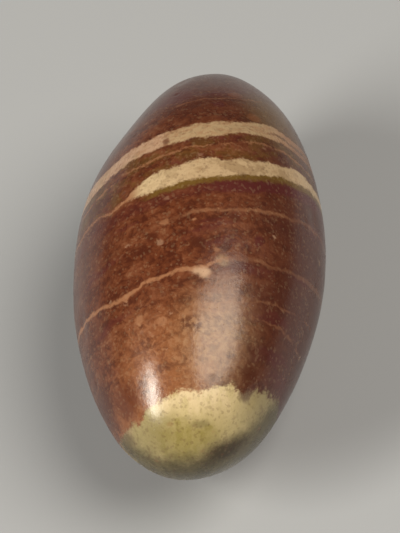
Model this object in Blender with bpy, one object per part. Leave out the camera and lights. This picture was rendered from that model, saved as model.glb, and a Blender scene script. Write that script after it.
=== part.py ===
"""A lingam stone: a river-worn jasper pebble, hand-shaped to a smooth egg and polished.

The stone is one solid. It lies on its side on a small flat spot, with its long axis
along Y and its fuller, pale end at -Y. Units are metres, +Z is up, and the origin is
on the resting surface, under the middle of the stone's bounding box.
"""

import math

import bmesh
import bpy
from mathutils import Vector

# Driving dimensions
LENGTH = 0.060
WIDTH = 0.030
HEIGHT_TO_WIDTH = 0.97
REST_CUT = 0.00042

# The girth is scaled by 1 + c1*t + c2*t^2 + c3*t^3, where t runs from -1 at the pale end
# to 1 at the slimmer far end. That turns an ellipsoid into the stone's egg shape.
TAPER = (0.005, -0.098, -0.092)

# Squares along each edge of the six-sided grid that the surface is made from
GRID = 24

# Corners closer together than this, left by the cut of the flat spot, become one
WELD = 0.00003

# Broad swells and worn flats: direction from the centre, height, and reach in degrees
SWELLS = (
    ((-0.43, 0.79, 0.43), 0.00018, 17),
    ((-0.72, 0.58, 0.38), -0.00040, 17),
    ((-0.94, 0.23, 0.24), 0.00022, 17),
    ((-0.73, -0.66, -0.19), -0.00016, 17),
    ((0.62, 0.71, 0.33), 0.00025, 17),
    ((0.93, 0.32, 0.15), -0.00013, 17),
    ((0.85, -0.47, -0.22), -0.00016, 17),
    ((0.55, -0.78, -0.31), 0.00022, 17),
    ((-0.45, -0.30, -0.84), 0.00020, 24),
    ((0.40, 0.65, -0.65), -0.00030, 20),
    ((0.05, 0.20, 0.98), 0.00014, 26),
)

# Shallow dings that the polish has rounded over: direction, depth, and reach in degrees
DINGS = (
    ((0.52, -0.79, 0.34), 0.00016, 3.6),
    ((-0.27, -0.22, 0.94), 0.00011, 3.2),
    ((-0.30, 0.78, 0.55), 0.00012, 3.4),
    ((0.88, 0.10, 0.46), 0.00012, 3.0),
    ((-0.85, -0.45, 0.25), 0.00014, 3.6),
    ((0.25, 0.90, -0.30), 0.00018, 4.0),
    ((-0.75, 0.50, -0.42), 0.00016, 3.6),
    ((0.62, -0.35, -0.70), 0.00018, 4.2),
)

# The stone's plain look
STONE_RED_BROWN = (0.16, 0.045, 0.030, 1.0)
STONE_ROUGHNESS = 0.28


def clear_objects():
    """Empty the scene."""
    for item in list(bpy.data.objects):
        bpy.data.objects.remove(item, do_unlink=True)


def make_material(name, colour, roughness):
    """A plain polished-stone material."""
    material = bpy.data.materials.new(name)
    material.use_nodes = True
    shader = material.node_tree.nodes["Principled BSDF"]
    shader.inputs["Base Color"].default_value = colour
    shader.inputs["Roughness"].default_value = roughness
    shader.inputs["Metallic"].default_value = 0.0
    return material


def bump(direction, centre, height, reach_degrees):
    """A rounded bump of the given height, fading out over its reach."""
    away = 1.0 - direction.dot(Vector(centre).normalized())
    fade = 1.0 - math.cos(math.radians(reach_degrees))
    return height * math.exp(-away / fade)


def surface_point(direction):
    """The stone's surface point for a unit direction from its centre."""
    t = direction.y
    c1, c2, c3 = TAPER
    girth = 1.0 + c1 * t + c2 * t ** 2 + c3 * t ** 3
    radius = WIDTH / 2 * girth
    point = Vector((radius * direction.x,
                    LENGTH / 2 * t,
                    radius * HEIGHT_TO_WIDTH * direction.z))
    relief = sum(bump(direction, *swell) for swell in SWELLS)
    relief -= sum(bump(direction, *ding) for ding in DINGS)
    return point + direction * relief


def add_round_grid(bm):
    """Make a closed sphere of even squares by rounding out a gridded cube."""
    bmesh.ops.create_cube(bm, size=2.0)
    bmesh.ops.subdivide_edges(bm, edges=bm.edges[:], cuts=GRID - 1, use_grid_fill=True)
    for vert in bm.verts:
        even = [math.tan(value * math.pi / 4) for value in vert.co]
        vert.co = Vector(even).normalized()


def cut_flat_spot(bm):
    """Take a thin slice off the underside and close it with one flat face."""
    lowest = min(vert.co.z for vert in bm.verts)
    bmesh.ops.bisect_plane(bm, geom=bm.verts[:] + bm.edges[:] + bm.faces[:],
                           plane_co=(0, 0, lowest + REST_CUT), plane_no=(0, 0, -1),
                           clear_outer=True)
    rim = [edge for edge in bm.edges if edge.is_boundary]
    rim_verts = list({vert for edge in rim for vert in edge.verts})
    bmesh.ops.remove_doubles(bm, verts=rim_verts, dist=WELD)
    rim = [edge for edge in bm.edges if edge.is_boundary]
    bmesh.ops.contextual_create(bm, geom=rim)


def settle(bm):
    """Move the stone so that it rests at z = 0, centred over the origin."""
    low = [min(vert.co[axis] for vert in bm.verts) for axis in range(3)]
    high = [max(vert.co[axis] for vert in bm.verts) for axis in range(3)]
    middle = Vector(((low[0] + high[0]) / 2, (low[1] + high[1]) / 2, low[2]))
    bmesh.ops.translate(bm, verts=bm.verts[:], vec=-middle)


def make_stone():
    """The whole stone as one closed object."""
    bm = bmesh.new()
    add_round_grid(bm)
    for vert in bm.verts:
        vert.co = surface_point(vert.co)
    cut_flat_spot(bm)
    settle(bm)
    bmesh.ops.recalc_face_normals(bm, faces=bm.faces[:])
    mesh = bpy.data.meshes.new("lingam_stone")
    bm.to_mesh(mesh)
    bm.free()
    mesh.shade_smooth()
    mesh.set_sharp_from_angle(angle=math.radians(30))
    mesh.materials.append(make_material("polished_jasper", STONE_RED_BROWN, STONE_ROUGHNESS))
    stone = bpy.data.objects.new("lingam_stone", mesh)
    bpy.context.scene.collection.objects.link(stone)
    return stone


clear_objects()
make_stone()
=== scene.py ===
"""The looks of a polished lingam stone: its fine surface, its banded jasper and the studio.

Lengths are in metres. The material works in millimetres from the stone's centre, with
the long axis along Y and the pale cap at -Y. Turns are degrees round that axis, from the
top towards +X.
"""

import math

import bpy
import numpy as np
from mathutils import Matrix, Vector


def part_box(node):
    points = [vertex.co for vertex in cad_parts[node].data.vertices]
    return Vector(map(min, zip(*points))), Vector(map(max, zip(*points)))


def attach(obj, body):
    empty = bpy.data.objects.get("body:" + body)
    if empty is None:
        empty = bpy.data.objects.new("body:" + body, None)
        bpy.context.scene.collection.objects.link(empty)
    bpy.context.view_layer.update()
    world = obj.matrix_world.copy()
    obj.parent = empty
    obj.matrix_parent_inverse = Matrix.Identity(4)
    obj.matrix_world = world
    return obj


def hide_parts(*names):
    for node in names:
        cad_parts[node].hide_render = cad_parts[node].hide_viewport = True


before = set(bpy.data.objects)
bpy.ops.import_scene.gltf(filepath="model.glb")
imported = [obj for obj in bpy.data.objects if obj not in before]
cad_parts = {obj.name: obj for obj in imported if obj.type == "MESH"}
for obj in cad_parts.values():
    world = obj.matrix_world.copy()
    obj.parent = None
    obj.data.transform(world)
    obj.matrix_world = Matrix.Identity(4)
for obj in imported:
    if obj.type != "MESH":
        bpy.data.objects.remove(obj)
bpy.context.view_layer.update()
NODE = "lingam_stone"

# The stone's form, as the solid has it
LOW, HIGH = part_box(NODE)
LENGTH = 0.060
WIDTH = 0.030
HEIGHT_TO_WIDTH = 0.97
REST_CUT = 0.00042
TAPER = (0.005, -0.098, -0.092)

# Broad swells and shallow dings: direction, height or depth, and reach in degrees
SWELLS = (
    ((-0.43, 0.79, 0.43), 0.00018, 17),
    ((-0.72, 0.58, 0.38), -0.00040, 17),
    ((-0.94, 0.23, 0.24), 0.00022, 17),
    ((-0.73, -0.66, -0.19), -0.00016, 17),
    ((0.62, 0.71, 0.33), 0.00025, 17),
    ((0.93, 0.32, 0.15), -0.00013, 17),
    ((0.85, -0.47, -0.22), -0.00016, 17),
    ((0.55, -0.78, -0.31), 0.00022, 17),
    ((-0.45, -0.30, -0.84), 0.00020, 24),
    ((0.40, 0.65, -0.65), -0.00030, 20),
    ((0.05, 0.20, 0.98), 0.00014, 26),
)
DINGS = (
    ((0.52, -0.79, 0.34), 0.00016, 3.6),
    ((-0.27, -0.22, 0.94), 0.00011, 3.2),
    ((-0.30, 0.78, 0.55), 0.00012, 3.4),
    ((0.88, 0.10, 0.46), 0.00012, 3.0),
    ((-0.85, -0.45, 0.25), 0.00014, 3.6),
    ((0.25, 0.90, -0.30), 0.00018, 4.0),
    ((-0.75, 0.50, -0.42), 0.00016, 3.6),
    ((0.62, -0.35, -0.70), 0.00018, 4.2),
)

# The fine surface
SEED = 7
SQUARES_ROUND = 96
SQUARES_ALONG = 160
SKIN = 0.000015
WAVES = 28
WAVE_HEIGHT = 0.0000045
WAVE_TURNS = (7.0, 22.0)
PITS = 70
PIT_RADIUS = (0.00035, 0.00080)
PIT_DEPTH = (0.00002, 0.00006)
PIT_STRETCH = 0.5
BOWL_POWER = 1.5

# The map for baking: four side charts above two end charts
ENDS_SHARE = 0.38
CHART_GAP = 0.004

# Colours of the rock, as linear red, green and blue
MAHOGANY = (0.066, 0.015, 0.006, 1)
BRICK = (0.118, 0.032, 0.012, 1)
RUSSET = (0.178, 0.061, 0.027, 1)
PURPLE_BROWN = (0.064, 0.017, 0.010, 1)
WINE = (0.082, 0.015, 0.014, 1)
ORANGE_BROWN = (0.250, 0.092, 0.034, 1)
OLIVE_BROWN = (0.135, 0.075, 0.015, 1)
CREAM = (0.480, 0.345, 0.200, 1)
TAN_CREAM = (0.355, 0.242, 0.132, 1)
PINK_CREAM = (0.470, 0.300, 0.195, 1)
PALE_ORANGE = (0.310, 0.142, 0.070, 1)
CAP_CREAM = (0.660, 0.520, 0.310, 1)
CAP_YELLOW = (0.455, 0.370, 0.165, 1)
CAP_OLIVE = (0.275, 0.218, 0.067, 1)
CAP_GREY = (0.200, 0.158, 0.078, 1)
# The cap's dark: painted shade low on the cap, and the colour of its crack
CAP_SHADE_AND_CRACK = (0.066, 0.050, 0.016, 1)
DARK_SPOT = (0.040, 0.022, 0.003, 1)
PIT_DARK = (0.050, 0.018, 0.009, 1)

MM_PER_METRE = 1000.0

# How edges wander: the scale, detail and reach in millimetres of each wave
LOOSE_WAVES = ((0.30, 2.0, 1.2),)
BENT_WAVES = ((1.1, 2.0, 0.7), (3.4, 3.0, 0.30))

# The rock's layers: how they rise along X and fall along Z, and their pattern's stretch
LAYER_RISE = 0.34
LAYER_FALL = 0.10
LAYER_STRETCH = (0.30, 1.0, 0.30)

# The plane of each marking: where it crosses the axis, and its slopes along X and Z
FAR_PLANE = (10.1, 0.36, 0.0)
NEAR_PLANE = (2.9, 0.365, 0.0)
VEIN_PLANE = (-4.4, 0.40, 0.0)
LINE_PLANE = (-8.7, 0.278, -0.224)
WARM_PLANE = (-9.0, 0.28, -0.22)
CAP_PLANE = (-24.0, 0.359, -0.167)

# Edges of the markings: degrees round the stone, and millimetres along it from a plane
FAR_MIDDLE = ((-180, 0.1), (-110, 0.4), (-60, 0.25), (-38, 0.2), (-20, 0.0), (-10, 0.05),
              (3, -0.2), (18, -0.2), (27, 0.0), (36, -0.1), (45, -0.45), (55, -1.0),
              (80, -1.1), (130, -0.3), (180, 0.1))
NEAR_TOP = ((-180, 0.8), (-130, 1.1), (-75, 1.0), (-58, 0.9), (-44, -0.1), (-33, 0.65),
            (-27, 1.2), (-21, 1.6), (-14, 1.33), (-5, 1.4), (3, 1.5), (11, 0.6),
            (17, 1.05), (24, 0.87), (36, 0.76), (49, 1.3), (66, 0.95), (120, 1.2), (180, 0.8))
NEAR_LOW = ((-180, -0.9), (-130, 0.1), (-75, 0.55), (-58, 0.5), (-44, -0.55), (-33, -0.65),
            (-26, -1.15), (-18, -1.3), (-9, -1.45), (-2, -1.65), (8, -1.7), (15, -1.95),
            (30, -1.65), (40, -1.13), (53, -0.85), (66, -0.4), (120, -1.0), (180, -0.9))
VEIN_MIDDLE = ((-180, 0.3), (-90, 0.3), (-36, 0.2), (-17, 0.6), (-4, 0.7), (12, 0.05),
               (32, -0.45), (46, -0.15), (90, 0.4), (180, 0.3))
LINE_MIDDLE = ((-180, -0.6), (-72, -0.3), (-55, -0.45), (-42, -1.05), (-33, -1.1), (-26, -0.4),
               (-20, -0.05), (-12, 0.05), (5, 0.0), (11, 0.5), (25, 0.9), (40, 0.1),
               (90, -0.2), (180, -0.6))
CAP_EDGE = ((-180, -0.3), (-130, 0.5), (-85, 0.1), (-59, -0.55), (-46, -0.9), (-38, -0.15),
            (-19, 0.1), (-7, 0.2), (6, 0.0), (22, -0.3), (33, -0.15), (43, -0.5),
            (52, -0.9), (58, -0.35), (70, -0.25), (88, -0.4), (130, 0.4), (180, -0.3))
EDGE_SPAN = 2.0

# Faint veins: plane, half width in millimetres and strength
FAINT_VEINS = (
    ((-13.9, 0.30, -0.20), 0.10, 0.30),
    ((17.5, 0.34, -0.05), 0.12, 0.35),
    ((-18.5, 0.26, 0.12), 0.12, 0.30),
)

# Single spots, specks and blotches: place and radius in millimetres, colour and strength
BODY_SPOTS = (
    ((-4.9, -7.1, 13.2), 0.70, MAHOGANY, 0.80),
    ((0.5, -8.1, 14.0), 0.75, MAHOGANY, 0.80),
    ((4.4, -4.1, 13.8), 0.60, MAHOGANY, 0.75),
    ((3.7, -8.1, 13.5), 0.50, MAHOGANY, 0.75),
    ((7.2, -6.1, 12.4), 0.70, WINE, 0.75),
    ((-3.7, -1.7, 14.2), 0.34, PINK_CREAM, 0.40),
    ((-3.8, -5.2, 13.8), 0.50, PALE_ORANGE, 0.60),
    ((-3.8, -6.5, 13.6), 0.38, PALE_ORANGE, 0.50),
    ((-3.9, -7.9, 13.4), 0.42, PINK_CREAM, 0.32),
    ((-0.1, -4.9, 14.4), 0.24, PALE_ORANGE, 0.70),
    ((2.7, -8.9, 13.6), 0.36, PALE_ORANGE, 0.60),
    ((9.0, -4.4, 11.4), 0.30, PINK_CREAM, 0.45),
    ((-5.6, -17.3, 10.3), 0.60, PALE_ORANGE, 0.75),
    ((-3.0, -17.8, 11.2), 0.50, PALE_ORANGE, 0.75),
    ((3.3, -10.1, 13.2), 0.75, TAN_CREAM, 0.35),
    ((7.3, -21.4, 7.2), 1.20, MAHOGANY, 0.75),
    ((-6.2, -24.6, 4.5), 2.00, BRICK, 0.85),
    # A dark spot low on the left beside the cap: painted shade on that side
    ((-9.0, -22.8, 1.2), 2.60, MAHOGANY, 0.85),
    ((-4.2, 18.2, 10.2), 2.10, WINE, 0.60),
    ((0.9, 15.8, 12.0), 0.80, WINE, 0.60),
    ((2.7, 19.0, 10.4), 0.90, RUSSET, 0.50),
    ((5.4, 14.4, 11.3), 0.80, ORANGE_BROWN, 0.40),
)
CAP_SPOTS = (
    ((3.1, -27.9, 4.5), 0.50, CAP_OLIVE, 0.8),
    ((-0.6, -27.8, 5.4), 0.45, CAP_OLIVE, 0.8),
    ((7.1, -23.4, 5.5), 0.95, PURPLE_BROWN, 0.70),
)

# The hand polish: how rough it is, and the heights of its fine bumps
ROUGHNESS = 0.245
STONE_IOR = 1.50
RIPPLE_BUMP = 0.00004
STREAK_BUMP = 0.000012
GRAIN_BUMP = 0.000006
PORE_BUMP = 0.000012

# The floor, the room, and each lamp's name, direction, long side, size, power and tint
FLOOR_HALF = 1.5
FLOOR_COLOUR = (0.36, 0.38, 0.41, 1)
FLOOR_ROUGHNESS = 0.8
ROOM_TINT = (1.0, 0.97, 0.93, 1)
ROOM_STRENGTH = 0.06
LAMP_DISTANCE = 0.9
KEY_TINT = (1.0, 0.94, 0.82)
SOFT_TINT = (1.0, 0.91, 0.78)
LAMPS = (
    ("key", (-0.69, -0.49, 0.53), (0.10, -0.80, -0.50), (0.52, 0.20), 8.2, KEY_TINT),
    ("soft", (0.48, -0.10, 0.87), (0.0, 1.0, 0.0), (0.80, 0.72), 8.0, SOFT_TINT),
)

# The camera, at the photograph's angle, with the stone larger in the picture
ELEVATION = 49.0
AZIMUTH = 4.6
DISTANCE = 0.42
SENSOR = 36.0
CLIP_START = 0.01
PICTURE_HEIGHT = 533
PIXELS_PER_HALF_WIDTH = 126.0


def unit(vector):
    """The vector, or each row of vectors, at length 1."""
    vector = np.asarray(vector, float)
    return vector / np.linalg.norm(vector, axis=-1, keepdims=True)


def add_object(name, data):
    """A new object, put in the scene."""
    item = bpy.data.objects.new(name, data)
    bpy.context.scene.collection.objects.link(item)
    return item


def bump_field(directions, centre, height, reach_degrees):
    """Heights of one rounded bump at all directions."""
    away = 1.0 - directions @ unit(centre)
    fade = 1.0 - math.cos(math.radians(reach_degrees))
    return height * np.exp(-away / fade)


def stone_form(directions):
    """The solid's own surface points for unit directions from its centre."""
    t = directions[:, 1]
    c1, c2, c3 = TAPER
    radius = WIDTH / 2 * (1.0 + c1 * t + c2 * t ** 2 + c3 * t ** 3)
    points = np.stack([radius * directions[:, 0],
                       LENGTH / 2 * t,
                       radius * HEIGHT_TO_WIDTH * directions[:, 2]], axis=1)
    relief = sum(bump_field(directions, *swell) for swell in SWELLS)
    relief = relief - sum(bump_field(directions, *ding) for ding in DINGS)
    return points + directions * relief[:, None]


def hand_worn_waves(directions, rng):
    """The faint unevenness of a stone polished by hand, at or below zero."""
    total = np.zeros(len(directions))
    for _ in range(WAVES):
        heading = unit(rng.normal(size=3))
        turns = rng.uniform(*WAVE_TURNS)
        total += np.sin(directions @ heading * turns + rng.uniform(0, 2 * math.pi))
    return WAVE_HEIGHT * (total - total.max())


def pit_field(points, rng):
    """How deep the small pits are at each point, and how far inside a pit it lies, 0 to 1."""
    depth = np.zeros(len(points))
    inside = np.zeros(len(points))
    for _ in range(PITS):
        centre = points[rng.integers(len(points))]
        stretch = 1.0 + PIT_STRETCH * rng.random(3)
        radius = rng.uniform(*PIT_RADIUS)
        deep = rng.uniform(*PIT_DEPTH) * radius / PIT_RADIUS[1]
        reach = np.linalg.norm((points - centre) * stretch, axis=1) / radius
        bowl = np.clip(1.0 - reach ** 2, 0.0, 1.0)
        depth = np.maximum(depth, deep * bowl ** BOWL_POWER)
        inside = np.maximum(inside, bowl)
    return depth, inside


def cube_charts():
    """Each face of the gridded cube: its fixed axis and which end of it, the axis that
    runs across its chart and its sense, the axis that runs up, and its box on the map."""
    x, y, z = range(3)
    quarter, half = 0.25, 0.5
    low = ENDS_SHARE
    return (
        (z, 1, x, 1, y, (0, low, quarter, 1)),
        (x, 1, z, -1, y, (quarter, low, half, 1)),
        (z, -1, x, -1, y, (half, low, 3 * quarter, 1)),
        (x, -1, z, 1, y, (3 * quarter, low, 1, 1)),
        (y, -1, x, 1, z, (0, 0, half, low)),
        (y, 1, x, -1, z, (half, 0, 1, low)),
    )


def round_grid():
    """A closed six-sided grid: unit directions, quads of their numbers, and the quads'
    corners on the map."""
    squares = (SQUARES_ROUND, SQUARES_ALONG, SQUARES_ROUND)
    corners, corner_uvs = [], []
    for fixed, end, across, sense, up, (x0, y0, x1, y1) in cube_charts():
        i, j = np.meshgrid(np.arange(squares[across]), np.arange(squares[up]), indexing="ij")
        quad, quad_uvs = [], []
        for di, dj in ((0, 0), (1, 0), (1, 1), (0, 1)):
            place = np.zeros(i.shape + (3,), int)
            place[..., fixed] = squares[fixed] if end > 0 else 0
            place[..., across] = i + di if sense > 0 else squares[across] - i - di
            place[..., up] = j + dj
            quad.append(place.reshape(-1, 3))
            u = x0 + CHART_GAP + (x1 - x0 - 2 * CHART_GAP) * (i + di) / squares[across]
            v = y0 + CHART_GAP + (y1 - y0 - 2 * CHART_GAP) * (j + dj) / squares[up]
            quad_uvs.append(np.stack([u.ravel(), v.ravel()], axis=1))
        corners.append(np.stack(quad, axis=1))
        corner_uvs.append(np.stack(quad_uvs, axis=1))
    corners = np.concatenate(corners).reshape(-1, 3)
    places, quads = np.unique(corners, axis=0, return_inverse=True)
    cube = 2.0 * places / np.array(squares) - 1.0
    directions = unit(np.tan(cube * math.pi / 4))
    return directions, quads.reshape(-1, 4), np.concatenate(corner_uvs).reshape(-1, 2)


def stone_points(directions):
    """The fine surface, set where the solid stands, how far inside a pit each point lies,
    and the form's centre."""
    rng = np.random.default_rng(SEED)
    points = stone_form(directions)
    low, high = points.min(axis=0), points.max(axis=0)
    depth, inside = pit_field(points, rng)
    relief = hand_worn_waves(directions, rng) - SKIN - depth
    points = points + directions * relief[:, None]
    middle = (np.array(LOW) + np.array(HIGH)) / 2
    shift = middle - (low + high) / 2
    shift[2] = LOW.z - low[2] - REST_CUT
    points = points + shift
    points[:, 2] = np.maximum(points[:, 2], LOW.z)
    return points, inside, shift


def make_stone():
    """The dressed stone as one closed mesh, and its form's centre."""
    directions, quads, corner_uvs = round_grid()
    points, inside, centre = stone_points(directions)
    mesh = bpy.data.meshes.new("stone")
    mesh.from_pydata(points.tolist(), [], quads.tolist())
    mesh.uv_layers.new(name="OFBake").data.foreach_set("uv", corner_uvs.ravel())
    mesh.attributes.new("pit", "FLOAT", "POINT").data.foreach_set("value", inside)
    mesh.shade_smooth()
    mesh.validate()
    return add_object("stone", mesh), centre


class Graph:
    """Adds shader nodes to a material. Each call hands back the new node's output."""

    def __init__(self, material):
        self.nodes = material.node_tree.nodes
        self.links = material.node_tree.links

    def feed(self, socket, value):
        """Link a socket, or set it when the value is a plain number or colour."""
        if isinstance(value, bpy.types.NodeSocket):
            self.links.new(value, socket)
        elif value is not None:
            socket.default_value = value

    def math(self, operation, a, b=None, c=None):
        node = self.nodes.new("ShaderNodeMath")
        node.operation = operation
        for socket, value in zip(node.inputs, (a, b, c)):
            self.feed(socket, value)
        return node.outputs[0]

    def add(self, *terms):
        total = terms[0]
        for term in terms[1:]:
            total = self.math("ADD", total, term)
        return total

    def subtract(self, a, b):
        return self.math("SUBTRACT", a, b)

    def times(self, *factors):
        total = factors[0]
        for factor in factors[1:]:
            total = self.math("MULTIPLY", total, factor)
        return total

    def most(self, a, b):
        return self.math("MAXIMUM", a, b)

    def wobble(self, noise, reach):
        """A noise of 0 to 1, centred on zero and scaled to a reach."""
        return self.math("MULTIPLY_ADD", noise, reach, -reach / 2)

    def outside(self, mask, share):
        """1 outside a mask, and less by a share inside it."""
        return self.math("MULTIPLY_ADD", mask, -share, 1.0)

    def vector(self, operation, a, b=None, scale=None):
        node = self.nodes.new("ShaderNodeVectorMath")
        node.operation = operation
        self.feed(node.inputs[0], a)
        self.feed(node.inputs[1], b)
        if scale is not None:
            self.feed(node.inputs["Scale"], scale)
        return node.outputs["Value" if operation == "LENGTH" else "Vector"]

    def step(self, value, low, high, out_low=0.0, out_high=1.0):
        """A smooth step from out_low at low to out_high at high."""
        node = self.nodes.new("ShaderNodeMapRange")
        node.interpolation_type = "SMOOTHSTEP"
        for name, number in (("Value", value), ("From Min", low), ("From Max", high),
                             ("To Min", out_low), ("To Max", out_high)):
            self.feed(node.inputs[name], number)
        return node.outputs[0]

    def noise(self, place, scale, detail=2.0, roughness=0.5, distortion=0.0, colour=False):
        node = self.nodes.new("ShaderNodeTexNoise")
        for name, value in (("Vector", place), ("Scale", scale), ("Detail", detail),
                            ("Roughness", roughness), ("Distortion", distortion)):
            self.feed(node.inputs[name], value)
        return node.outputs["Color" if colour else 0]

    def cells(self, place, scale):
        """Distance to the nearest of many random points, and a random colour for each."""
        node = self.nodes.new("ShaderNodeTexVoronoi")
        self.feed(node.inputs["Vector"], place)
        self.feed(node.inputs["Scale"], scale)
        return node.outputs["Distance"], node.outputs["Color"]

    def curve(self, value, pairs, span):
        """A smooth curve through pairs of input, 0 to 1, and output, -span to span."""
        node = self.nodes.new("ShaderNodeFloatCurve")
        points = node.mapping.curves[0].points
        for _ in pairs[2:]:
            points.new(0.5, 0.5)
        for point, (along, height) in zip(points, sorted(pairs)):
            point.location = (along, 0.5 + height / (2 * span))
        node.mapping.update()
        self.feed(node.inputs["Value"], value)
        return self.wobble(node.outputs[0], 2 * span)

    def mix(self, factor, a, b):
        """Mix two colours."""
        node = self.nodes.new("ShaderNodeMix")
        node.data_type = "RGBA"
        self.feed(node.inputs[0], factor)
        self.feed(node.inputs[6], a)
        self.feed(node.inputs[7], b)
        return node.outputs[2]

    def tint(self, colour, other, *masks):
        """Mix another colour in, by the product of the masks."""
        return self.mix(self.times(*masks), colour, other)

    def split(self, value):
        node = self.nodes.new("ShaderNodeSeparateXYZ")
        self.feed(node.inputs[0], value)
        return tuple(node.outputs)

    def join(self, x, y, z):
        node = self.nodes.new("ShaderNodeCombineXYZ")
        for socket, value in zip(node.inputs, (x, y, z)):
            self.feed(socket, value)
        return node.outputs[0]

    def bump(self, height, distance, normal=None):
        """Bend the shading normal by a height of 0 to 1, over a distance in metres."""
        node = self.nodes.new("ShaderNodeBump")
        node.inputs["Distance"].default_value = distance
        self.feed(node.inputs["Height"], height)
        self.feed(node.inputs["Normal"], normal)
        return node.outputs[0]

    def attribute(self, name):
        node = self.nodes.new("ShaderNodeAttribute")
        node.attribute_name = name
        return node.outputs["Fac"]

    def object_place(self):
        return self.nodes.new("ShaderNodeTexCoord").outputs["Object"]


class Rock:
    """The stone's patterns, from places in millimetres from the stone's centre: place as
    they are, loose and bent with edges that wander, and layers across the slanted rock."""

    def __init__(self, graph, centre):
        self.g = g = graph
        from_centre = g.vector("SUBTRACT", g.object_place(), tuple(centre))
        self.place = g.vector("SCALE", from_centre, scale=MM_PER_METRE)
        self.x, self.y, z = g.split(self.place)
        turn = g.math("ARCTAN2", self.x, z)
        self.turn = g.math("MULTIPLY_ADD", turn, 0.5 / math.pi, 0.5)
        self.loose = self.bend(self.place, LOOSE_WAVES)
        self.bent = self.bend(self.loose, BENT_WAVES)
        self.bx, self.by, self.bz = g.split(self.bent)
        self.layers = g.vector("MULTIPLY", self.tilted(), LAYER_STRETCH)

    def bend(self, place, waves):
        """The place moved about by waves, each with a scale, a detail and a reach."""
        g = self.g
        for scale, detail, reach in waves:
            push = g.noise(place, scale, detail, colour=True)
            push = g.vector("SUBTRACT", push, (0.5, 0.5, 0.5))
            place = g.vector("ADD", place, g.vector("SCALE", push, scale=reach))
        return place

    def tilted(self):
        """Bent places with their Y measured across the slanted layers of the rock."""
        g = self.g
        across = g.subtract(self.by, g.times(self.bx, LAYER_RISE))
        across = g.add(across, g.times(self.bz, LAYER_FALL))
        return g.join(self.bx, across, self.bz)

    def above(self, height, slope_x, slope_z, edge=None):
        """How far a bent place lies past a slanted plane that crosses the axis at height."""
        g = self.g
        level = g.add(g.times(self.bx, slope_x), g.times(self.bz, slope_z), height)
        if edge:
            pairs = [(degrees / 360 + 0.5, offset) for degrees, offset in edge]
            level = g.add(level, g.curve(self.turn, pairs, EDGE_SPAN))
        return g.subtract(self.by, level)

    def band(self, distance, half_width, soft):
        """1 inside a band around distance 0, fading out over its soft edges."""
        g = self.g
        outer, inner = g.add(half_width, soft), g.subtract(half_width, soft)
        return g.step(g.math("ABSOLUTE", distance), outer, inner)

    def away(self, centre, stretch):
        """How far a bent place lies from a centre, with each axis stretched."""
        g = self.g
        off = g.vector("SUBTRACT", self.bent, centre)
        return g.vector("LENGTH", g.vector("MULTIPLY", off, stretch))

    def spot(self, centre, radius, stretch=(1, 1, 1), soft=0.4):
        """1 inside an uneven spot."""
        away = self.away(centre, stretch)
        return self.g.step(away, radius * (1 + soft), radius * (1 - soft))

    def add_spots(self, colour, spots):
        """Mix in each of a list of spots."""
        for centre, radius, other, strength in spots:
            colour = self.g.tint(colour, other, self.spot(centre, radius), strength)
        return colour

    def flecks(self, scale, radius, share):
        """1 inside scattered small flecks, on a share of a random net's cells."""
        g = self.g
        distance, tint = g.cells(self.loose, scale)
        chosen, size, _ = g.split(tint)
        reach = g.times(g.add(size, 0.5), radius)
        inside = g.step(g.subtract(distance, reach), 0.4 * radius, -0.4 * radius)
        return g.times(inside, g.step(chosen, 1.0 - share, 1.01 - share))


def body_colour(rock):
    """The red-brown rock between the bands, layered, clouded and flecked, with some painted shade
    and a painted reflection.
    """
    g = rock.g
    clouds = g.noise(rock.place, 0.11, 3.0, 0.55, 0.4)
    layers = g.noise(rock.layers, 0.60, 3.0, 0.55)
    blotches = g.noise(rock.bent, 0.55, 4.0, 0.60)
    mottle = g.noise(rock.bent, 1.7, 3.0, 0.6)

    tone = g.add(g.times(layers, 0.28), g.times(blotches, 0.37), g.times(mottle, 0.35))
    colour = g.mix(g.step(tone, 0.41, 0.52), MAHOGANY, BRICK)
    colour = g.tint(colour, RUSSET, g.step(tone, 0.49, 0.60), 0.8)

    # Darker at the far end and both sides, partly the rock's colour and partly painted shade,
    # with wine layers and an olive patch
    far_end = g.step(g.add(rock.y, g.wobble(clouds, 8.0)), 9.0, 19.0)
    colour = g.tint(colour, MAHOGANY, far_end, 0.70)
    right = g.add(rock.x, g.wobble(clouds, 12.0), g.wobble(blotches, 5.0))
    colour = g.tint(colour, PURPLE_BROWN, g.step(right, 4.0, 12.5), 0.85)
    left = g.add(rock.x, g.wobble(clouds, 6.0))
    colour = g.tint(colour, MAHOGANY, g.step(left, -8.0, -13.0), 0.55)
    wine = g.step(g.noise(rock.layers, 0.33, 3.0, 0.55), 0.55, 0.66)
    colour = g.tint(colour, WINE, wine, 0.5)
    olive = rock.spot((8.0, 16.5, 9.0), 4.0, (1.0, 0.7, 1.0), 0.6)
    colour = g.tint(colour, OLIVE_BROWN, olive, 0.6)

    # Warmer towards the cap, and a painted reflection: paler where the lamp's broad reflection
    # reaches down to it
    to_cap = g.step(g.add(rock.above(*WARM_PLANE), g.wobble(blotches, 6.0)), 0.0, -9.5)
    warm = g.times(to_cap, g.step(g.add(rock.x, g.wobble(clouds, 7.0)), 8.5, 2.0),
                   g.step(rock.x, -9.5, -4.0, 0.10, 1.0))
    colour = g.tint(colour, ORANGE_BROWN, warm, g.step(tone, 0.38, 0.56, 0.35, 0.90))
    colour = g.tint(colour, PALE_ORANGE, warm, g.step(mottle, 0.50, 0.64), 0.45)
    # Painted reflection: a pale tan patch where the broad reflection lies
    painted_reflection = rock.spot((3.6, -20.0, 10.5), 3.3, (0.9, 0.55, 0.9), 0.95)
    colour = g.tint(colour, TAN_CREAM, painted_reflection, g.step(mottle, 0.34, 0.68, 0.28, 0.54))

    pale = rock.flecks(0.55, 0.15, 0.22)
    colour = g.tint(colour, PINK_CREAM, pale, g.step(mottle, 0.44, 0.60), 0.30)
    dark = rock.flecks(0.50, 0.26, 0.42)
    return g.tint(colour, MAHOGANY, dark, g.step(mottle, 0.60, 0.44), 0.55)


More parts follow.
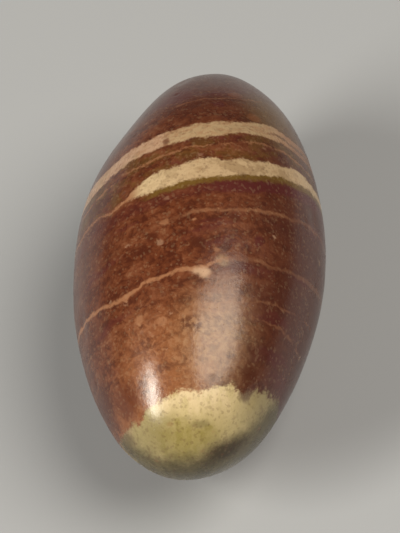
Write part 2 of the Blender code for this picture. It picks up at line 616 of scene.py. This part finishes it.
def add_veins(rock, colour):
    """Thin pale veins: a clear line with a speck on it, a soft vein and a few faint ones."""
    g = rock.g
    broken = g.noise(rock.place, 0.30, 3.0, 0.6)
    line = rock.band(rock.above(*LINE_PLANE, LINE_MIDDLE), 0.26, 0.17)
    colour = g.tint(colour, PALE_ORANGE, line, g.step(rock.x, 1.5, 4.5, 0.85, 0.22))
    speck = rock.spot((1.1, -11.95, 13.2), 0.58, (0.50, 1.0, 1.0), 0.5)
    colour = g.tint(colour, PINK_CREAM, speck)
    vein = rock.band(rock.above(*VEIN_PLANE, VEIN_MIDDLE), 0.24, 0.20)
    vein = g.times(vein, g.step(rock.x, -5.0, 1.0, 0.2, 1.0), g.step(rock.x, 8.0, 11.5, 1.0, 0.5))
    colour = g.tint(colour, PALE_ORANGE, vein, g.step(broken, 0.38, 0.50, 0.30, 0.50))
    for plane, half_width, strength in FAINT_VEINS:
        vein = rock.band(rock.above(*plane), half_width, 0.12)
        colour = g.tint(colour, PALE_ORANGE, vein, g.step(broken, 0.42, 0.58), strength)
    return colour


def far_band(rock, far, patchy, stripes):
    """The far band: where it is, with a gap and a fork in it, and its colour, pink on the
    left and orange on the right."""
    g = rock.g
    width = g.add(1.30, g.wobble(g.noise(rock.place, 0.5, 2.0), 0.7))
    gap = rock.spot((-4.75, 8.0, 13.2), 0.42, (1.0, 0.45, 1.0), 0.5)
    fork = g.times(rock.band(g.add(far, 0.15), 0.20, 0.14), g.step(rock.x, 6.5, 8.5))
    mask = g.times(rock.band(far, width, 0.24), g.outside(gap, 0.75), g.outside(fork, 0.8))
    colour = g.mix(0.45, CREAM, TAN_CREAM)
    colour = g.tint(colour, PINK_CREAM, g.step(rock.x, -3.8, -5.8))
    colour = g.tint(colour, TAN_CREAM, g.step(patchy, 0.50, 0.62), 0.5)
    colour = g.tint(colour, PALE_ORANGE, stripes)
    colour = g.tint(colour, PALE_ORANGE, g.step(rock.x, 5.5, 10.5), 0.85)
    return mask, colour


def near_band(rock, top, low, patchy, stripes):
    """The near band: where it is, between its top and its low edge, and its colour, palest
    left of the middle and orange where it thins out beyond that."""
    g = rock.g
    fine = g.noise(rock.bent, 2.2, 3.0, 0.6)
    mask = g.step(g.math("MINIMUM", low, g.times(top, -1.0)), -0.24, 0.24)
    colour = g.mix(g.step(patchy, 0.47, 0.60), CREAM, TAN_CREAM)
    colour = g.tint(colour, CAP_CREAM, g.step(rock.x, 0.0, -6.0, 0.0, 0.35))
    colour = g.tint(colour, TAN_CREAM, stripes, 0.6)
    colour = g.tint(colour, PALE_ORANGE, g.step(fine, 0.58, 0.70), 0.30)
    colour = g.tint(colour, PALE_ORANGE, g.step(rock.x, -6.6, -8.6))
    return mask, colour


def add_bands(rock, colour):
    """The two cream bands near the far end, with the darker rock that borders them."""
    g = rock.g
    patchy = g.noise(rock.bent, 0.45, 4.0, 0.6)
    stripes = g.times(g.step(g.noise(rock.layers, 2.4, 2.0, 0.6), 0.46, 0.64), 0.45)
    grains = g.wobble(g.noise(rock.place, 3.0, 3.0, 0.7), 0.9)
    far = g.add(rock.above(*FAR_PLANE, FAR_MIDDLE), grains)
    top = g.add(rock.above(*NEAR_PLANE, NEAR_TOP), grains)
    low = g.add(rock.above(*NEAR_PLANE, NEAR_LOW), grains)

    # Olive and a thin vein between the bands, then an olive rim and a wine strip
    between = g.times(g.step(top, 0.0, 0.3), g.step(far, 0.0, -0.3))
    colour = g.tint(colour, OLIVE_BROWN, between, g.step(patchy, 0.44, 0.60), 0.40)
    thin = rock.band(g.add(far, 3.1), 0.16, 0.10)
    colour = g.tint(colour, PALE_ORANGE, thin, g.step(patchy, 0.40, 0.52), 0.6)
    rim = rock.band(g.add(low, 0.40), 0.62, 0.25)
    colour = g.tint(colour, OLIVE_BROWN, rim, g.step(rock.bx, -7.5, -4.5), 0.95)
    strip = rock.band(g.add(low, 1.75), 0.95, 0.45)
    colour = g.tint(colour, WINE, strip, g.step(rock.bx, -1.0, 3.0, 0.35, 0.9))

    far_mask, cream = far_band(rock, far, patchy, stripes)
    colour = g.tint(colour, cream, far_mask, g.step(rock.x, 8.0, 12.0, 0.94, 0.50))
    near_mask, cream = near_band(rock, top, low, patchy, stripes)
    colour = g.tint(colour, cream, near_mask, g.step(rock.x, -13.5, -8.0, 0.70, 0.96))
    return colour, g.most(far_mask, near_mask)


def cap_shade_cloud(rock, clouds, streaks):
    """Where the mottled dark cloud of painted shade lies on the cap's lower part."""
    g = rock.g
    stains = g.noise(rock.bent, 0.9, 5.0, 0.68)
    start = g.add(rock.bz, g.wobble(clouds, 4.0), g.times(rock.bx, -0.05))
    end = g.add(rock.bz, g.times(rock.bx, 0.35), g.wobble(clouds, 9.0), g.wobble(streaks, 4.0))
    cloud = g.times(g.step(start, 3.5, -1.3), g.step(end, -7.0, -2.4, 0.20, 1.0))
    cloud = g.step(g.add(cloud, g.wobble(stains, 0.8)), 0.04, 0.94)
    return g.times(cloud, g.step(stains, 0.36, 0.62, 0.96, 0.80))


def cap_colour(rock):
    """The cap's cream, clouded with yellow, olive and a grey that is partly painted shade, with
    painted shade low down.
    """
    g = rock.g
    clouds = g.noise(rock.bent, 0.34, 4.0, 0.6)
    streaks = g.noise(g.vector("MULTIPLY", rock.bent, (1.3, 0.35, 0.35)), 1.0, 4.0, 0.6)

    colour = g.tint(CAP_CREAM, CAP_YELLOW, g.step(streaks, 0.42, 0.64), 0.65)
    lower = g.step(g.add(rock.bz, g.wobble(streaks, 7.0)), 7.2, 3.2)
    colour = g.tint(colour, CAP_YELLOW, lower, 0.75)
    away = g.add(rock.away((0.4, -28.9, 3.4), (0.75, 0.6, 1.3)), g.wobble(clouds, 4.0),
                 g.wobble(streaks, 3.0))
    olive = g.step(away, 5.2, 1.6)
    colour = g.tint(colour, CAP_OLIVE, olive, g.step(streaks, 0.38, 0.60, 0.75, 1.0))
    # Grey on the right, partly the cap's colour and partly painted shade
    right = g.step(g.add(rock.bx, g.wobble(clouds, 5.0)), 5.5, 9.0)
    colour = g.tint(colour, CAP_GREY, right, 0.70)
    left = g.step(g.add(rock.bx, g.wobble(clouds, 3.0)), -1.5, -4.5)
    colour = g.tint(colour, CAP_YELLOW, left, 0.55)
    colour = g.tint(colour, PINK_CREAM, g.step(rock.bx, -4.6, -6.6), g.step(rock.bz, 4.5, 2.5),
                    0.6)

    # Painted shade on the left and at the bottom, and below that a dark cloud of painted shade
    shade_left = g.times(g.step(g.add(rock.bx, g.wobble(clouds, 1.5)), 0.5, -3.5),
                        g.step(rock.bz, 7.0, 4.8))
    shade_bottom = g.times(g.step(rock.bz, 3.2, 0.4), g.step(rock.bx, 4.5, 2.0))
    colour = g.tint(colour, CAP_SHADE_AND_CRACK, g.most(shade_left, shade_bottom), 0.36)
    return g.tint(colour, CAP_SHADE_AND_CRACK, cap_shade_cloud(rock, clouds, streaks))


def add_cap(rock, colour):
    """The pale cap over the near end, ragged at its edge, with a crack and a dark smudge."""
    g = rock.g
    ragged = g.noise(rock.place, 1.3, 4.0, 0.65)
    grains = g.noise(rock.place, 3.2, 3.0, 0.7)
    edge = g.add(rock.above(*CAP_PLANE, CAP_EDGE), g.wobble(ragged, 1.2), g.wobble(grains, 1.3))
    cap = g.step(edge, 0.38, -0.42)

    cream = rock.add_spots(cap_colour(rock), CAP_SPOTS)
    crack = g.most(rock.spot((0.1, -27.6, 5.9), 0.34, (0.25, 1.0, 1.0), 0.7),
                   rock.spot((2.2, -27.7, 5.0), 0.36, (0.30, 1.0, 1.0), 0.7))
    cream = g.tint(cream, CAP_SHADE_AND_CRACK, crack, 0.40)
    smudge = rock.spot((5.0, -27.9, 0.9), 2.2, (0.75, 0.8, 1.5), 0.6)
    cream = g.tint(cream, DARK_SPOT, smudge, 0.92)
    cream = g.tint(cream, ORANGE_BROWN, rock.flecks(0.8, 0.2, 0.25), 0.22)
    return g.tint(colour, cream, cap), cap


def add_grain(rock, colour):
    """The fine grains of jasper: each a little darker or lighter than the next."""
    g = rock.g
    _, tint = g.cells(rock.loose, 3.6)
    red, green, _ = g.split(tint)
    colour = g.tint(colour, MAHOGANY, g.step(red, 0.70, 0.95), 0.26)
    return g.tint(colour, CREAM, g.step(green, 0.78, 1.0), 0.10)


def stone_finish(rock, pale, pit):
    """How rough the hand polish is, and the fine bumps that it leaves."""
    g = rock.g
    dull = g.noise(rock.place, 0.45, 5.0, 0.65)
    streaks = g.noise(g.vector("MULTIPLY", rock.place, (2.6, 0.30, 2.6)), 1.0, 4.0, 0.6)
    rough = g.add(ROUGHNESS, g.wobble(dull, 0.14), g.wobble(streaks, 0.16),
                  g.times(pale, 0.04), g.times(pit, 0.08))
    normal = g.bump(g.noise(rock.place, 0.55, 3.0), RIPPLE_BUMP)
    normal = g.bump(streaks, STREAK_BUMP, normal)
    normal = g.bump(g.noise(rock.place, 4.5, 3.0, 0.6), GRAIN_BUMP, normal)
    pores = g.times(rock.flecks(1.5, 0.10, 0.30), -1.0)
    return rough, g.bump(pores, PORE_BUMP, normal)


def dress_stone(stone, centre):
    """Polished banded jasper."""
    material = bpy.data.materials.new("banded_jasper")
    material.use_nodes = True
    g = Graph(material)
    rock = Rock(g, centre)
    colour = rock.add_spots(body_colour(rock), BODY_SPOTS)
    colour = add_veins(rock, colour)
    colour, bands = add_bands(rock, colour)
    colour, cap = add_cap(rock, colour)
    colour = add_grain(rock, colour)
    pit = g.step(g.attribute("pit"), 0.15, 0.9)
    colour = g.tint(colour, PIT_DARK, pit, 0.2)
    rough, normal = stone_finish(rock, g.most(bands, cap), pit)
    shader = g.nodes["Principled BSDF"]
    g.feed(shader.inputs["Base Color"], colour)
    g.feed(shader.inputs["Roughness"], rough)
    g.feed(shader.inputs["Normal"], normal)
    shader.inputs["IOR"].default_value = STONE_IOR
    stone.data.materials.append(material)


def make_floor():
    """A plain pale floor."""
    half = FLOOR_HALF
    corners = [(-half, -half, 0), (half, -half, 0), (half, half, 0), (-half, half, 0)]
    mesh = bpy.data.meshes.new("floor")
    mesh.from_pydata(corners, [], [(0, 1, 2, 3)])
    material = bpy.data.materials.new("pale_floor")
    material.use_nodes = True
    shader = material.node_tree.nodes["Principled BSDF"]
    shader.inputs["Base Color"].default_value = FLOOR_COLOUR
    shader.inputs["Roughness"].default_value = FLOOR_ROUGHNESS
    mesh.materials.append(material)
    floor = add_object("floor", mesh)


def make_lamp(target, name, direction, long_side, size, power, tint):
    """A soft oval lamp, aimed at the target, that the camera doesn't see."""
    data = bpy.data.lights.new(name, "AREA")
    data.shape = "ELLIPSE"
    data.size, data.size_y = size
    data.energy = power
    data.color = tint
    lamp = add_object(name, data)
    back = Vector(direction).normalized()
    along = Vector(long_side)
    along = (along - back * along.dot(back)).normalized()
    turn = Matrix((along, back.cross(along), back)).transposed()
    place = Matrix.Translation(Vector(target) + back * LAMP_DISTANCE)
    lamp.matrix_world = place @ turn.to_4x4()
    lamp.visible_camera = False


def light_studio(target):
    """A narrow key on the left, a broad soft light on the right and a dim even room."""
    for lamp in LAMPS:
        make_lamp(target, *lamp)
    world = bpy.data.worlds.new("room")
    world.use_nodes = True
    background = world.node_tree.nodes["Background"]
    background.inputs["Color"].default_value = ROOM_TINT
    background.inputs["Strength"].default_value = ROOM_STRENGTH
    bpy.context.scene.world = world
    bpy.context.scene.view_settings.view_transform = "Standard"


def place_camera(target):
    """Look down on the stone at the photograph's angle."""
    data = bpy.data.cameras.new("camera")
    data.sensor_fit = "AUTO"
    data.sensor_width = SENSOR
    data.lens = SENSOR * PIXELS_PER_HALF_WIDTH * DISTANCE / (WIDTH / 2) / PICTURE_HEIGHT
    data.clip_start = CLIP_START
    camera = add_object("camera", data)
    e, a = math.radians(ELEVATION), math.radians(AZIMUTH)
    back = Vector((math.sin(a) * math.cos(e), -math.cos(a) * math.cos(e), math.sin(e)))
    camera.location = Vector(target) + back * DISTANCE
    ahead = Vector(target) - camera.location
    camera.rotation_euler = ahead.to_track_quat("-Z", "Y").to_euler()
    bpy.context.scene.camera = camera


stone, form_centre = make_stone()
dress_stone(stone, form_centre)
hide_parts(NODE)
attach(stone, "root")
middle = (LOW + HIGH) / 2
make_floor()
light_studio(middle)
place_camera(middle)
